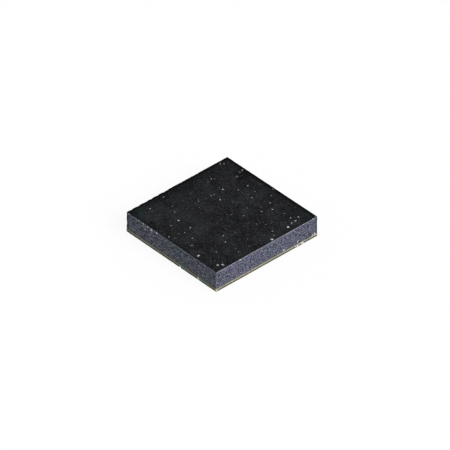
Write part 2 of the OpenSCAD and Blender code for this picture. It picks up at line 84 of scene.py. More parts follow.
class Socket:
    # one output of a shader graph, so that masks are added and multiplied as numbers are
    def __init__(self, graph, output):
        self.graph = graph
        self.output = output

    def math(self, operation, first, second):
        return self.graph.node("ShaderNodeMath", {"operation": operation}, {0: first, 1: second})

    def __add__(self, other):
        return self.math("ADD", self, other)

    def __radd__(self, other):
        return self.math("ADD", other, self)

    def __sub__(self, other):
        return self.math("SUBTRACT", self, other)

    def __rsub__(self, other):
        return self.math("SUBTRACT", other, self)

    def __mul__(self, other):
        return self.math("MULTIPLY", self, other)

    def __rmul__(self, other):
        return self.math("MULTIPLY", other, self)

    def __truediv__(self, other):
        return self.math("DIVIDE", self, other)

    def __mod__(self, other):
        return self.math("FLOORED_MODULO", self, other)

    def __abs__(self):
        return self.math("ABSOLUTE", self, 0.0)

    def least(self, other):
        return self.math("MINIMUM", self, other)

    def most(self, other):
        return self.math("MAXIMUM", self, other)


def between(value, low, high):
    # low where the value is 0, high where it is 1
    return low + (high - low) * value


def blend(first, second, share):
    # the first with a share of the second in it
    return (1 - share) * first + share * second


class Graph:
    # the node tree of a world or a material: each node gets its settings first and then its sockets
    def __init__(self, owner):
        self.owner = owner
        owner.use_nodes = True
        self.tree = owner.node_tree
        self.tree.nodes.clear()

    def node(self, kind, settings, inputs, output=0):
        made = self.tree.nodes.new(kind)
        for key, value in settings.items():
            setattr(made, key, value)
        for key, value in inputs.items():
            if isinstance(value, Socket):
                self.tree.links.new(value.output, made.inputs[key])
            else:
                made.inputs[key].default_value = value
        return None if output is None else Socket(self, made.outputs[output])

    def seenDirectly(self):
        # 1 for what the camera, a reflection or clear glass shows, and 0 for light on the object
        rays = ("Is Camera Ray", "Is Glossy Ray", "Is Transmission Ray")
        camera, glossy, clear = (self.node("ShaderNodeLightPath", {}, {}, ray) for ray in rays)
        return camera.most(glossy).most(clear)


class Finish(Graph):
    # a material's graph, which also knows its place on the part in millimetres
    def __init__(self, name):
        super().__init__(bpy.data.materials.new(name))
        self.place = self.scaled(self.node("ShaderNodeTexCoord", {}, {}, "Object"), 1 / mm)
        axes = (self.node("ShaderNodeSeparateXYZ", {}, {0: self.place}, axis) for axis in "XYZ")
        self.x, self.y, self.z = axes

    def insets(self):
        # distance in from the sides across X, and from the sides across Y
        return halfX - abs(self.x), halfY - abs(self.y)

    def scaled(self, vector, factor):
        return self.node("ShaderNodeVectorMath", {"operation": "SCALE"}, {0: vector, "Scale": factor})

    def stretched(self, factors):
        # the place with each axis scaled by its own factor
        return self.node("ShaderNodeVectorMath", {"operation": "MULTIPLY"}, {0: self.place, 1: factors})

    def distance(self, place, point):
        return self.node("ShaderNodeVectorMath", {"operation": "DISTANCE"}, {0: place, 1: point}, "Value")

    def sine(self, value):
        return self.node("ShaderNodeMath", {"operation": "SINE"}, {0: value})

    def step(self, value, low, high, most=1.0):
        # goes smoothly from 0 at low to most at high, and falls where low is the greater
        inputs = {"Value": value, "From Min": low, "From Max": high, "To Max": most}
        return self.node("ShaderNodeMapRange", {"interpolation_type": "SMOOTHSTEP"}, inputs)

    def within(self, value, half):
        # 1 where the value is nearer to 0 than half
        return self.step(abs(value), half + fade, half - fade)

    def noise(self, perMm, detail=noiseDetail, place=None):
        inputs = {"Vector": place or self.place, "Scale": perMm, "Detail": detail}
        return self.node("ShaderNodeTexNoise", {}, inputs, "Fac")

    def cells(self, perMm, output="Distance", place=None):
        # cells round scattered points: how far the nearest point is, in widths of a cell
        inputs = {"Vector": place or self.place, "Scale": perMm}
        return self.node("ShaderNodeTexVoronoi", {}, inputs, output)

    def cellValue(self, perMm, place=None):
        # one random value for each cell
        return self.node("ShaderNodeSeparateColor", {}, {0: self.cells(perMm, "Color", place)}, "Red")

    def mix(self, factor, first, second):
        return self.node("ShaderNodeMix", {"data_type": "RGBA"}, {0: factor, 6: first, 7: second}, 2)

    def bump(self, height, depth):
        return self.node("ShaderNodeBump", {}, {"Height": height, "Distance": depth * mm})

    def surface(self, inputs):
        shader = self.node("ShaderNodeBsdfPrincipled", {}, inputs)
        self.node("ShaderNodeOutputMaterial", {}, {"Surface": shader}, None)
        return self.owner


# Relief: blocks of fine grids, grained and worn as sawn and moulded faces are, cut to the CAD solids

relief = {
    "cell": 0.025,  # spacing of the grid
    "low": 0.1,  # the block passes the mould's lower face, and the cut trims it
    "back": 0.0003,  # the whole relief lies at least this far behind the CAD faces
    "touch": 0.000001,  # a point this near to a face lies on it
    # the width of each kind of bump, and its depth
    "grain": (0.042, 0.0045),
    "dust": (0.026, 0.002),
    "pit": (0.075, 0.01),  # filler grains that the saw has torn out
    "score": (0.05, 0.0015),  # lines that the saw has left along the walls
    "skin": (0.05, 0.001),
    "wave": (0.9, 0.002),
    "chip": (0.1, 0.022),  # chips out of the arrises
    "rough": (0.03, 0.002),
    "fray": (0.09, 0.009),  # wear of the laminate's lower arris
    # pits and chips are where a noise has passed the start, and are full past the span
    "pits": {"start": 0.72, "span": 0.15},
    "chips": {"start": 0.5, "span": 0.3},
    "scoreStretch": 0.1,
    "arrisReach": 0.045,
    "arrisDepth": 0.004,
    "chippedSide": {"start": 0.4, "span": 0.5},  # the front left side is chipped towards its far end
    "chipLeast": 0.15,  # share of the chips' depth that the other arrises have
    "frayReach": 0.035,
    "seeds": {"saw": 11, "wear": 21, "skin": 31, "fray": 41, "rough": 42},
}
latticeShift = 10  # the lattice of the noises is laid out from a point this far off the middle


def ramp(value, low, high):
    # for arrays what Finish.step is for sockets: 3t^2 - 2t^3 between low and high
    t = np.clip((value - low) / (high - low), 0, 1)
    return t * t * (3 - 2 * t)


def risen(value, start, span):
    # 0 up to the start, 1 past the span, and a straight rise between
    return np.clip((value - start) / span, 0, 1)


def nearness(distance, reach):
    # 1 at no distance, falling to 0 at the reach: the square of the share of the reach that is left
    return np.clip(1 - distance / reach, 0, 1) ** 2


def softNoise(points, size, seed):
    # random numbers on a lattice of the given size, blended between its corners by 3t^2 - 2t^3
    place = (points + latticeShift) / size
    place -= np.floor(place.min(axis=0))
    base = np.floor(place).astype(int)
    t = ramp(place - base, 0, 1)
    table = np.random.default_rng(seed).random(base.max(axis=0) + 2)
    total = np.zeros(len(points))
    for corner in np.ndindex(2, 2, 2):
        weight = np.prod(np.where(np.array(corner) == 1, t, 1 - t), axis=1)
        i, j, k = (base + np.array(corner)).T
        total += weight * table[i, j, k]
    return total


def bumps(points, kind, seed):
    # a soft noise of the width of one kind of bump, times its depth
    size, depth = relief[kind]
    return depth * softNoise(points, size, seed)


def sawDepth(points, seed):
    # depth of a sawn face: two sizes of cut grains, pits where a noise is high, and lines along the cut
    pitSize, pitDepth = relief["pit"]
    pits = risen(softNoise(points, pitSize, seed), **relief["pits"])
    drawnOut = np.array([relief["scoreStretch"], relief["scoreStretch"], 1])
    scores = bumps(points * drawnOut, "score", seed + 1)
    grains = bumps(points, "grain", seed + 2)
    grains += bumps(points, "dust", seed + 3)
    return relief["back"] + grains + pitDepth * pits + scores


def skinDepth(points, seed):
    # depth of the moulded top: a fine even texture on shallow waves
    return relief["back"] + bumps(points, "skin", seed) + bumps(points, "wave", seed + 1)


def arrisWear(points, edge, seed):
    # extra depth: nearness to the arris, times an even wear and the depth of the chips there
    form = relief
    chipSize, chipDepth = form["chip"]
    chips = risen(softNoise(points, chipSize, seed), **form["chips"])
    frontLeft = risen(-points[:, 0], **form["chippedSide"]) * (points[:, 1] < 0)
    share = between(frontLeft, form["chipLeast"], 1)
    return nearness(edge, form["arrisReach"]) * (form["arrisDepth"] + chipDepth * chips * share)


def blockGrid(low, high, cell):
    # each face of a box is a grid over its two parameters, and equal points on shared edges become one
    lines = [np.linspace(a, b, round((b - a) / cell) + 1) for a, b in zip(low, high)]
    points, quads, start = [], [], 0
    for axis in range(3):
        one, two = (axis + 1) % 3, (axis + 2) % 3
        u, v = np.meshgrid(lines[one], lines[two], indexing="ij")
        index = np.arange(u.size).reshape(u.shape)
        corners = (index[:-1, :-1], index[1:, :-1], index[1:, 1:], index[:-1, 1:])
        ring = np.stack(corners, axis=-1).reshape(-1, 4)
        for end, order in ((low, -1), (high, 1)):
            place = np.empty(u.shape + (3,))
            place[..., one], place[..., two], place[..., axis] = u, v, end[axis]
            points.append(place.reshape(-1, 3))
            quads.append(start + ring[:, ::order])
            start += u.size
    points, quads = np.concatenate(points), np.concatenate(quads)
    joined, back = np.unique(points.round(6), axis=0, return_inverse=True)
    return joined, back.reshape(-1)[quads]


def mouldRelief():
    # each point of the block moves in from every face that it lies on, by the depth of that kind of face
    # there: sawn depth and arris wear on the walls, skin depth and arris wear on the top
    seeds, touch = relief["seeds"], relief["touch"]
    points, quads = blockGrid((-halfX, -halfY, relief["low"]), (halfX, halfY, topZ), relief["cell"])
    insetX, insetY = halfX - abs(points[:, 0]), halfY - abs(points[:, 1])
    under = topZ - points[:, 2]
    sawn = sawDepth(points, seeds["saw"])
    moved = points.copy()
    for axis, across, along in ((0, insetX, insetY), (1, insetY, insetX)):
        depth = sawn + arrisWear(points, np.minimum(along, under), seeds["wear"])
        moved[:, axis] -= np.sign(points[:, axis]) * depth * (across < touch)
    depth = skinDepth(points, seeds["skin"]) + arrisWear(points, np.minimum(insetX, insetY), seeds["wear"])
    moved[:, 2] -= depth * (under < touch)
    return moved, quads


# Glass cloth of the laminate: yarns that end in the sawn side, and yarns that run along it

cloth = {
    "pitch": 0.36,  # from yarn to yarn
    "endHalfWidth": 0.13,
    "endHalfHeight": 0.0075,
    "endEdge": (1.15, 0.6),  # square of the distance, in half sizes, where an end starts and is full
    "runHalfHeight": 0.0055,
    "runEdge": (1.3, 0.7),  # the same for the running yarn, in half heights and not squared
    "crimp": 0.006,  # how far a yarn swings up and down
    "stray": 0.05,  # how far the yarns stray from an even spacing
    "strayPerMm": 5.3,
    "strayShift": 40,
    "phase": {"upper_prepreg": 0.1, "laminate_core": 0.47, "lower_prepreg": 0.83},
    "cell": 0.02,  # spacing of the band's grid along the sides
    "rise": 0.005,  # and up them
    "low": -0.02,  # the band passes the laminate at both ends, and the cut trims it
    "high": 0.17,
    "resinDepth": 0.003,  # resin lies behind the glass
}


def weave(along, height, node, sine, step):
    # yarn ends are ellipses, one in each turn, whose height is the sine of half turns, so that they lie
    # high and low alternately, and the yarn that runs along the side swings the other way
    form = cloth
    low, high = nodeBox(node)
    rise = height - (low[2] + high[2]) / 2
    phase = form["phase"][node]
    stray = sine(along * form["strayPerMm"] + phase * form["strayShift"]) * form["stray"]
    turn = (along + stray) / form["pitch"] + phase
    swing = sine(turn * math.pi) * form["crimp"]
    across = (turn % 1.0 - 0.5) * (form["pitch"] / form["endHalfWidth"])
    up = (rise - swing) / form["endHalfHeight"]
    ends = step(across * across + up * up, *form["endEdge"])
    run = step(abs(rise + swing), *(form["runHalfHeight"] * edge for edge in form["runEdge"]))
    return ends, run


def bandGrid(low, high, cell, rise):
    # the outline of the part's walls, point by point round it, is carried up in steps,
    # and a flat cap closes each end
    corners = np.array([(-halfX, -halfY), (halfX, -halfY), (halfX, halfY), (-halfX, halfY)])
    sides = []
    for start, end in zip(corners, np.roll(corners, -1, axis=0)):
        count = round(np.linalg.norm(end - start) / cell)
        sides.append(start + (end - start) * np.arange(count)[:, None] / count)
    path = np.concatenate(sides)
    levels = np.linspace(low, high, round((high - low) / rise) + 1)
    heights = np.repeat(levels, len(path))[:, None]
    points = np.concatenate([np.tile(path, (len(levels), 1)), heights], axis=1)
    index = np.arange(len(points)).reshape(len(levels), len(path))
    after = np.roll(index, -1, axis=1)
    quads = np.stack([index[:-1], after[:-1], after[1:], index[1:]], axis=-1).reshape(-1, 4)
    return points, quads, [index[0, ::-1], index[-1]]


def bandRelief():
    # each point moves in by the resin's depth where no yarn shows, by a fine roughness, and by a fray
    # that is a noise times the nearness to the lower arris
    form, seeds = cloth, relief["seeds"]
    points, quads, caps = bandGrid(form["low"], form["high"], form["cell"], form["rise"])
    walls = ((0, halfX), (1, halfY))
    onX, onY = (half - abs(points[:, axis]) < relief["touch"] for axis, half in walls)
    along, height = np.where(onX, points[:, 1], points[:, 0]), points[:, 2]
    glass = np.zeros(len(points))
    for node in form["phase"]:
        low, high = nodeBox(node)
        inLayer = (height > low[2]) * (height < high[2])
        glass = np.maximum(glass, np.maximum(*weave(along, height, node, np.sin, ramp)) * inLayer)
    fray = nearness(height, relief["frayReach"]) * bumps(points, "fray", seeds["fray"])
    depth = relief["back"] + form["resinDepth"] * (1 - glass) + bumps(points, "rough", seeds["rough"]) + fray
    moved = points.copy()
    for axis, wall in ((0, onX), (1, onY)):
        moved[:, axis] -= np.sign(points[:, axis]) * depth * wall
    return moved, quads, caps


# Pieces: each block or band is cut to the CAD solid that it stands for

mergeReach = 0.00000001  # metres between corners of the CAD mesh that count as one point
creaseAngle = 40  # degrees, past which an edge is shaded as a crease


def added(name, data):
    # a new object in the scene
    made = bpy.data.objects.new(name, data)
    bpy.context.scene.collection.objects.link(made)
    return made


def gridMesh(name, points, quads, caps=()):
    # each quad has four corners and each cap its whole ring, and a face starts where the last one ends
    sizes = np.concatenate([np.full(len(quads), 4), np.array([len(cap) for cap in caps], dtype=int)])
    mesh = bpy.data.meshes.new(name)
    mesh.vertices.add(len(points))
    mesh.vertices.foreach_set("co", (points * mm).ravel())
    mesh.loops.add(sizes.sum())
    mesh.loops.foreach_set("vertex_index", np.concatenate([quads.ravel(), *caps]))
    mesh.polygons.add(len(sizes))
    mesh.polygons.foreach_set("loop_start", np.cumsum(sizes) - sizes)
    mesh.update(calc_edges=True)
    return mesh


def cutToNode(name, node, mesh):
    # keeps what the block and a merged copy of the CAD node share, so that every pocket inside stays
    solid = added(node + "_copy", nodes[node].data.copy())
    merged = bmesh.new()
    merged.from_mesh(solid.data)
    bmesh.ops.remove_doubles(merged, verts=merged.verts, dist=mergeReach)
    merged.to_mesh(solid.data)
    merged.free()
    piece = added(name, mesh)
    cut = piece.modifiers.new("cut", "BOOLEAN")
    cut.operation = "INTERSECT"
    cut.solver = "MANIFOLD"
    cut.object = solid
    shown = piece.evaluated_get(bpy.context.evaluated_depsgraph_get())
    final = bpy.data.meshes.new_from_object(shown)
    piece.modifiers.clear()
    piece.data = final
    bpy.data.objects.remove(solid)
    final.materials.clear()
    final.polygons.foreach_set("use_smooth", np.ones(len(final.polygons), dtype=bool))
    final.set_sharp_from_angle(angle=math.radians(creaseAngle))
    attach(piece, "root")
    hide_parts(node)
    final.calc_loop_triangles()
    print(name, "has", len(final.loop_triangles), "triangles")
    return piece


band = gridMesh("band", *bandRelief())
block = gridMesh("mould_body", *mouldRelief())
pieces = {"mold_compound": cutToNode("mould_body", "mold_compound", block)}
for node in ("top_solder_mask", "upper_prepreg", "laminate_core", "lower_prepreg", "bottom_solder_mask"):
    pieces[node] = cutToNode(node + "_sheet", node, band.copy())
bpy.data.meshes.remove(band)

# Marks: spots with torn edges, set after the photo on the top and on the two sides that it shows

marks = {
    "tearPerMm": 32.0,  # the noise that pushes a place about
    "tearReach": 0.12,  # and how far at most
    "spotSoft": 0.5,  # share of a spot's radius over which it fades, inwards and outwards
    "stainSoft": 0.8,
    # stains on the laminate and on the mould above it: place along the side, height and radius, where the
    # left side is the one across Y that faces the camera, and the right one is the one across X
    "green": {"colour": paint(70, 104, 88), "strength": 0.4, "right": [], "left": [
        (0.6, 0.24, 0.14), (0.6, 0.13, 0.09), (0.8, 0.12, 0.11), (1.1, 0.3, 0.08), (1.75, 0.08, 0.12),
        (1.95, 0.11, 0.1), (2.45, 0.25, 0.06)]},
    "brown": {"colour": paint(112, 68, 54), "strength": 0.4, "right": [], "left": [
        (1.1, 0.09, 0.12), (1.25, 0.1, 0.08), (2.3, 0.13, 0.1), (2.4, 0.12, 0.09)]},
    "dark": {"colour": paint(42, 46, 56), "strength": 0.95, "left": [], "right": [
        (2.0, 0.19, 0.05), (2.2, 0.22, 0.065), (1.65, 0.19, 0.05), (1.9, 0.04, 0.04)]},
}


def ragged(g):
    # the place in millimetres, pushed along each axis by a noise, which tears the edges of what reads it
    inputs = {"Vector": g.place, "Scale": marks["tearPerMm"], "Detail": noiseDetail}
    push = g.scaled(g.node("ShaderNodeTexNoise", {}, inputs, "Color"), marks["tearReach"])
    return g.node("ShaderNodeVectorMath", {"operation": "ADD"}, {0: g.place, 1: push})


def spots(g, places, soft=marks["spotSoft"]):
    # each spot is a centre and a radius, and the centre goes with the middle of the push
    place, middle = ragged(g), marks["tearReach"] * noiseMiddle
    shown = 0.0
    for x, y, z, radius in places:
        away = g.distance(place, (x + middle, y + middle, z + middle))
        shown = g.step(away, radius * (1 + soft), radius * (1 - soft)).most(shown)
    return shown


def sidePlaces(group):
    # from places along the left and the right side to places on the part
    left = [(x, -halfY, z, radius) for x, z, radius in group["left"]]
    return left + [(halfX, y, z, radius) for y, z, radius in group["right"]]


def stained(g, colour):
    for stain in (marks["green"], marks["brown"], marks["dark"]):
        shown = spots(g, sidePlaces(stain), marks["stainSoft"]) * stain["strength"]
        colour = g.mix(shown, colour, stain["colour"])
    return colour


def sideMask(g):
    # 1 on the sides across X, and 0 on those across Y
    insetX, insetY = g.insets()
    return g.step(insetX - insetY, fade, -fade)


# In the looks below, a pair or three for a mask says where it starts, where it is full and how strong it
# is then, if not 1. A spread says what a value is where its noise is 0, and what it is where that is 1

# Mould compound: matt moulded top, and sawn walls that show cut filler grains

mouldLook = {
    "fleck": paint(220, 221, 219),
    "wornPerMm": 55.0,
    "wornSpread": (0.55, 1.25),
    "fillerPerMm": 27.0,
    "fillerDisc": (0.5, 0.28),
    "dustPerMm": 22.0,
    "dustShare": 0.4,
    "topEdge": (0.0, 0.003),  # where the top takes over from the walls
    "fracture": paint(176, 178, 184),
    "fracturePerMm": 40.0,
    "fractureDepth": (0.012, 0.02, 1.4),  # torn face behind the sawn one, as in a notch
    "inside": paint(40, 41, 44),
    "insideDepth": (0.12, 0.14),  # pockets round the inner pieces
    "roughSpread": (0.6, 0.85),
    "gloss": 0.025,
    "bump": 0.0012,
    "top": {
        "dark": paint(2, 3, 4),
        "light": paint(55, 56, 59),
        "cool": paint(49, 57, 61),
        "warm": paint(60, 55, 60),
        "shade": (0.28, 0.68),
        "grainPerMm": 27.0,
        "grainShare": 0.5,
        "pebblesPerMm": 26.0,
        "pebbleDisc": (0.7, 0.1),
        "pebbleSpread": (0.3, 1.0),
        "pebbleShare": 0.26,
        "cloudsPerMm": 1.6,
        "cloudShare": 0.28,
        "huesPerMm": 1.5,
        "hueSpread": (0.2, 0.8),
        "coolHue": (0.5, 0.72),
        "warmHue": (0.5, 0.28),
        "coolCorners": (3.4, 4.9),  # cool towards the left and right corners, warm along the far right rim
        "cornerShare": 0.16,
        "warmRim": (0.8, 0.1, 0.12),
        "speck": paint(98, 98, 102),
        "specksPerMm": 15.0,
        "speckDisc": (0.36, 0.2),
        "speckCells": (0.81, 1.0, 0.85),
        # painted shade along the rims: the top darkens near every arris, and most towards the two far ones
        "paintedRimShade": paint(4, 5, 6),
        "farRimShade": (0.2, 0.04, 0.45),
        "farShade": (0.9, 0.1, 0.4),
        "everyRimShade": (0.2, 0.03, 0.3),
    },
    "wall": {
        # a pair of colours or strengths is for the sides across Y and those across X
        "resin": paint(29, 31, 40),
        "filler": (paint(172, 176, 190), paint(178, 178, 205)),
        "fillerShade": (0.1, 0.68),
        "tintsPerMm": (11.0, 1.4),  # fine and broad
        "broadShare": 0.4,
        "teal": paint(66, 94, 98),
        "tealTint": (0.5, 0.66),
        "tealStrength": (0.36, 0.22),
        "purple": paint(100, 86, 124),
        "purpleTint": (0.48, 0.34, 0.36),
        "dust": paint(92, 92, 84),
        "dustHeight": (0.28, 0.16, 0.4),
        "frontCorner": (0.6, 0.3),
        "darkCorner": (0.15, 0.04, 0.6),
        # pale line along the top arris and the front upright one: partly chipped filler and partly a painted
        # highlight, stronger on the sides across X
        "arrisChipsAndHighlight": paint(158, 160, 170),
        "arrisLine": (0.07, 0.021),
        "arrisStrength": (0.4, 0.65),
        "frontArris": (0.045, 0.02, 0.5),
        "arrisPerMm": 6.0,
        "arrisSpread": (0.3, 1.1),
    },
    # pale flecks that stand out in the top, by size: their radius, and x and y of each
    "topFlecks": {
        "large": (0.037, [(1.3, -2.35), (2.2, -2.2), (2.25, 1.3), (2.4, 0.35)]),
        "middling": (0.028, [
            (2.3, -2.05), (2.15, 1.55), (2.15, 1.75), (1.0, -0.85), (1.35, -1.05), (-0.8, -1.45),
            (-1.1, 1.05)]),
        "small": (0.021, [
            (1.05, 1.6), (0.7, 1.8), (-0.65, 1.9), (-0.7, 0.55), (0.15, 2.45), (-2.25, 2.15), (-2.35, 2.05),
            (-2.25, -0.9), (2.05, 2.0), (1.9, 1.75), (2.05, 0.7), (0.35, -1.8), (0.65, -2.1), (-1.35, 2.0),
            (-1.5, 2.4), (-0.3, -2.4), (-2.05, -1.75)]),
    },
    "scatter": {"perMm": 3.4, "radius": 0.028, "core": 0.3, "strength": 0.88},  # the other flecks, in no list
    # pale chips in the walls and on their arrises, and two painted glints, the last two on the right: place
    # along the side, height and radius
    "wallChipsAndGlints": {
        "left": [
            (-2.35, 0.9, 0.03), (-1.8, 0.9, 0.03), (-1.55, 0.9, 0.035), (-1.45, 0.7, 0.035),
            (-1.3, 0.9, 0.03), (-1.1, 0.85, 0.05), (-0.8, 0.9, 0.045)],
        "right": [
            (-1.35, 0.9, 0.03), (0.35, 0.85, 0.02), (0.45, 0.8, 0.015), (1.85, 0.9, 0.025),
            (2.35, 0.9, 0.025), (1.55, 0.22, 0.03), (1.6, 0.27, 0.025), (0.85, 0.2, 0.035),
            (2.3, 0.18, 0.025), (2.4, 0.19, 0.03)],
    },
}


def topFlecked(g, skin, worn):
    # the flecks in the list, and a scatter of others that are spots where a cell's point lies near the face
    look, scatter = mouldLook, mouldLook["scatter"]
    places = [(x, y, topZ, radius) for radius, group in look["topFlecks"].values() for x, y in group]
    reach = scatter["radius"] * scatter["perMm"]
    away = g.cells(scatter["perMm"], place=ragged(g))
    loose = g.step(away, reach, reach * scatter["core"], scatter["strength"])
    return g.mix(spots(g, places).most(loose) * worn, skin, look["fleck"])


def mouldTop(g, inset, worn):
    # grain, pebbles and clouds set the tone, a slow noise the hue, and specks, flecks and a painted shade
    # along the rims lie on it
    look = mouldLook["top"]
    pebbles = g.step(g.cells(look["pebblesPerMm"]), *look["pebbleDisc"])
    pebbles = pebbles * between(g.cellValue(look["pebblesPerMm"]), *look["pebbleSpread"])
    shade = g.noise(look["grainPerMm"]) * look["grainShare"] + pebbles * look["pebbleShare"]
    shade = shade + g.noise(look["cloudsPerMm"], cloudDetail) * look["cloudShare"]
    corner = g.step(abs(g.x + g.y), *look["coolCorners"])
    hue = between(g.noise(look["huesPerMm"], cloudDetail), *look["hueSpread"])
    hue = hue + corner * look["cornerShare"] - g.step(halfY - g.y, *look["warmRim"]) * (1 - corner)
    light = g.mix(g.step(hue, *look["coolHue"]), look["light"], look["cool"])
    light = g.mix(g.step(hue, *look["warmHue"]), light, look["warm"])
    skin = g.mix(g.step(shade, *look["shade"]), look["dark"], light)
    speck = g.step(g.cells(look["specksPerMm"]), *look["speckDisc"])
    speck = speck * g.step(g.cellValue(look["specksPerMm"]), *look["speckCells"])
    skin = g.mix(speck, skin, look["speck"])
    far = (g.x + halfX).least(halfY - g.y)  # from the two arrises that face away from the front corner
    # painted shade towards the far arrises and near every arris
    paintedRimShade = g.step(far, *look["farRimShade"]) + g.step(far, *look["farShade"]) + g.step(inset, *look["everyRimShade"])
    return topFlecked(g, g.mix(paintedRimShade, skin, look["paintedRimShade"]), worn)


def mouldWall(g, insetX, insetY, under, grain, worn):
    # cut filler grains in dark resin, tinted by a noise, with stains, chips, and pale arrises that are partly
    # chipped filler and partly a painted highlight
    look = mouldLook["wall"]
    onX = sideMask(g)
    wall = g.mix(g.step(grain, *look["fillerShade"]), look["resin"], g.mix(onX, *look["filler"]))
    fine, broad = look["tintsPerMm"]
    tint = blend(g.noise(fine, plainDetail), g.noise(broad), look["broadShare"])
    teal = g.step(tint, *look["tealTint"]) * between(onX, *look["tealStrength"])
    wall = g.mix(teal, wall, look["teal"])
    wall = g.mix(g.step(tint, *look["purpleTint"]), wall, look["purple"])
    wall = g.mix(g.step(g.z, *look["dustHeight"]), wall, look["dust"])
    front = g.step(g.x - g.y, *(halfX + halfY - reach for reach in look["frontCorner"]))
    upright = insetX + insetY  # from the nearest upright arris
    wall = g.mix(g.step(upright, *look["darkCorner"]) * (1 - front), wall, look["resin"])
    wall = stained(g, wall)
    # the pale arris line: partly chipped filler and partly a painted highlight
    paleArrisAndHighlight = g.step(under, *look["arrisLine"]) * between(onX, *look["arrisStrength"])
    paleArrisAndHighlight = paleArrisAndHighlight.most(g.step(upright, *look["frontArris"]) * front)
    paleArrisAndHighlight = paleArrisAndHighlight * between(g.noise(look["arrisPerMm"]), *look["arrisSpread"])
    wall = g.mix(paleArrisAndHighlight, wall, look["arrisChipsAndHighlight"])
    # chips, and two painted glints, in the pale fleck colour
    return g.mix(spots(g, sidePlaces(mouldLook["wallChipsAndGlints"])) * worn, wall, mouldLook["fleck"])


def mouldCompound():
    # filler grains and dust make one grain for the walls' colour and for the roughness and bump of all faces
    look = mouldLook
    g = Finish("mold_compound")
    insetX, insetY = g.insets()
    inset = insetX.least(insetY)  # depth behind the nearest wall
    under = topZ - g.z
    depth = inset.least(under)
    worn = between(g.noise(look["wornPerMm"], plainDetail), *look["wornSpread"])
    disc = g.step(g.cells(look["fillerPerMm"]), *look["fillerDisc"]) * g.cellValue(look["fillerPerMm"])
    grain = blend(disc, g.noise(look["dustPerMm"]), look["dustShare"])
    wall = mouldWall(g, insetX, insetY, under, grain, worn)
    colour = g.mix(g.step(inset - under, *look["topEdge"]), wall, mouldTop(g, inset, worn))
    fracture = g.step(depth, *look["fractureDepth"]) * g.noise(look["fracturePerMm"])
    colour = g.mix(fracture, colour, look["fracture"])
    colour = g.mix(g.step(depth, *look["insideDepth"]), colour, look["inside"])
    return g.surface({
        "Base Color": colour,
        "Roughness": between(grain, *look["roughSpread"]),
        "Specular IOR Level": look["gloss"],
        "Normal": g.bump(grain, look["bump"]),
    })


# Laminate: olive resin and pale glass in the sawn sides

laminateLook = {
    # a pair of colours is for the sides across Y and those across X; the second is paler, painted light on
    # the sides across X, which face the key lamp, and painted shade on those across Y
    "paleResin": (paint(126, 125, 104), paint(148, 144, 126)),
    "paleGlass": (paint(157, 161, 145), paint(180, 178, 164)),
    "darkResin": (paint(26, 27, 17), paint(62, 60, 42)),
    "darkGlass": (paint(44, 46, 35), paint(84, 83, 66)),
    "toneHeight": (0.072, 0.084),  # the cloth is dark below and pale above
    "toneWander": 0.03,
    "filamentsPerMm": 110.0,
    "filamentDisc": (0.6, 0.3),
    "filamentSpread": (0.4, 1.0),
    "strandsPerMm": (9.0, 9.0, 260.0),
    "strandSpread": (0.3, 1.0),
    "cloudsPerMm": 7.0,
    "specksPerMm": 20.0,
    # how much of each makes up the share of glass
    "glassShare": 0.75,
    "cloudShare": 0.9,
    "speckShare": 0.25,
    "tintsPerMm": 5.0,
    "greenTint": (0.5, 0.7, 0.34),
    "brownTint": (0.48, 0.28, 0.34),
    "fracture": paint(196, 196, 184),
    "fracturePerMm": 30.0,
    "fractureSpread": (0.35, 1.15),
    "fractureDepth": (0.014, 0.02),
    "roughSpread": (0.45, 0.75),
    "gloss": 0.2,
    "bump": 0.0008,
    # glints of broken glass and resin, pale glass with a painted highlight on it: place along the side,
    # height and radius
    "glints": {"colour": paint(230, 231, 224), "left": [(1.5, 0.055, 0.05)], "right": [
        (1.45, 0.07, 0.03), (1.55, 0.06, 0.038), (1.65, 0.08, 0.026), (1.75, 0.06, 0.026),
        (1.8, 0.075, 0.034), (2.3, 0.14, 0.028), (2.4, 0.14, 0.028), (2.45, 0.12, 0.02)]},
    "cream": {"colour": paint(216, 210, 172), "left": [], "right": [(-2.55, 0.06, 0.06), (-2.5, 0.05, 0.03)]},
}


def sawnLaminate(g, colour):
    # what every sawn layer shares: tints, stains and painted glints, and pale fractured glass in the notches
    look = laminateLook
    tint = g.noise(look["tintsPerMm"])
    colour = g.mix(g.step(tint, *look["greenTint"]), colour, marks["green"]["colour"])
    colour = g.mix(g.step(tint, *look["brownTint"]), colour, marks["brown"]["colour"])
    colour = stained(g, colour)
    # the glints are painted highlights on pale broken glass
    for group in (look["glints"], look["cream"]):
        colour = g.mix(spots(g, sidePlaces(group)), colour, group["colour"])
    insetX, insetY = g.insets()
    broken = g.step(insetX.least(insetY), *look["fractureDepth"])
    broken = broken * between(g.noise(look["fracturePerMm"]), *look["fractureSpread"])
    return g.mix(broken, colour, look["fracture"])


